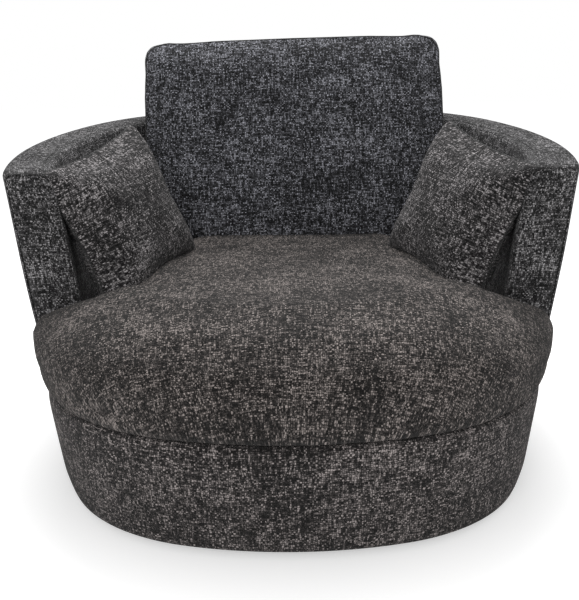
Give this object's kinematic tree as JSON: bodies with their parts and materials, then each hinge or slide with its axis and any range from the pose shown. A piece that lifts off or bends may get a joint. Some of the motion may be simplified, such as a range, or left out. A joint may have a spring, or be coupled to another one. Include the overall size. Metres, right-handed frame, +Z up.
{
  "type": "cuddle chair",
  "caption": "Swivelling cuddle chair: a flared drum base, a C-shaped padded tub, a thick crowned T seat cushion, a boxed back cushion and two knife-edge scatter cushions.",
  "frame": {"origin": "on the floor, on the swivel axis, at the middle of the centre glide's underside", "axes": "+Z up along the swivel axis, -Y out of the seat's front towards the sitter's knees, +X to the sitter's left as they sit, which is the right of a front view"},
  "size_m": [1.2552, 1.2969, 0.9485],
  "materials": {
    "tweed_tub": "coarse charcoal tweed weave with pale flecks",
    "tweed_seat": "coarse brown-grey tweed weave with pale flecks",
    "tweed_back": "coarse blue-grey tweed weave with pale flecks",
    "tweed_scatter": "coarse charcoal tweed weave with pale flecks",
    "foam": "matt upholstery foam",
    "fibre_filling": "soft fibre filling in a plain case",
    "felt": "matt pressed felt",
    "dust_cloth": "thin black non-woven cloth",
    "zip_tape": "woven tape with fine nylon teeth",
    "plywood": "unfinished birch plywood",
    "timber": "planed softwood",
    "hardboard": "smooth brown hardboard",
    "steel_plate": "black powder coat",
    "screw_steel": "zinc plated",
    "spring_steel": "oiled spring steel",
    "cage_plastic": "natural nylon",
    "glide_plastic": "black moulded plastic"
  },
  "bodies": {
    "floor_base": {"floor_board": "plywood", "floor_glides": "glide_plastic", "centre_glide": "glide_plastic", "swivel_lower_plate": "steel_plate", "lower_plate_screws": "screw_steel"},
    "bearing_ring": {"roller_cage": "cage_plastic", "rollers": "screw_steel"},
    "tub": {"swivel_upper_plate": "steel_plate", "upper_plate_screws": "screw_steel", "base_skirt_ring": "plywood", "base_deck_board": "plywood", "base_ribs": "timber", "base_top_ring": "plywood", "frame_bolts": "screw_steel", "base_outer_panel": "hardboard", "base_padding": "foam", "base_cover": "tweed_seat", "dust_cover": "dust_cloth", "seat_springs": "spring_steel", "spring_clips": "spring_steel", "seat_deck_pad": "felt", "arm_front_board_left": "plywood", "arm_front_board_right": "plywood", "arm_front_padding_left": "foam", "arm_front_padding_right": "foam", "arm_front_cover_left": "tweed_tub", "arm_front_cover_right": "tweed_tub", "tub_bottom_rail": "plywood", "tub_top_rail": "plywood", "tub_ribs": "timber", "tub_outer_panel": "hardboard", "tub_inner_panel": "hardboard", "tub_padding": "foam", "tub_cover": "tweed_tub"},
    "seat_cushion": {"seat_cushion_cover": "tweed_seat", "seat_cushion_core": "foam", "seat_cushion_zip": "zip_tape"},
    "back_cushion": {"back_cushion_cover": "tweed_back", "back_cushion_filling": "fibre_filling", "back_cushion_zip": "zip_tape"},
    "scatter_left": {"scatter_left_cover": "tweed_scatter", "scatter_left_filling": "fibre_filling", "scatter_left_zip": "zip_tape"},
    "scatter_right": {"scatter_right_cover": "tweed_scatter", "scatter_right_filling": "fibre_filling", "scatter_right_zip": "zip_tape"}
  },
  "joints": [
    {"name": "swivel", "type": "hinge", "parent": "floor_base", "child": "tub", "pos_m": [0, 0, 0.03], "axis": [0, 0, 1], "continuous": true},
    {"name": "roller_ring_turn", "type": "hinge", "parent": "floor_base", "child": "bearing_ring", "pos_m": [0, 0, 0.03], "axis": [0, 0, 1], "continuous": true},
    {"name": "seat_cushion_lift", "type": "slide", "parent": "tub", "child": "seat_cushion", "axis": [0, 0, 1], "range_m": [0, 0.25]},
    {"name": "back_cushion_lift", "type": "slide", "parent": "seat_cushion", "child": "back_cushion", "axis": [0, 0, 1], "range_m": [0, 0.3]},
    {"name": "scatter_left_lift", "type": "slide", "parent": "back_cushion", "child": "scatter_left", "axis": [0, 0, 1], "range_m": [0, 0.3]},
    {"name": "scatter_right_lift", "type": "slide", "parent": "back_cushion", "child": "scatter_right", "axis": [0, 0, 1], "range_m": [0, 0.3]}
  ],
  "couplings": [
    {"joint": "roller_ring_turn", "follows": "swivel", "ratio": 0.5}
  ]
}
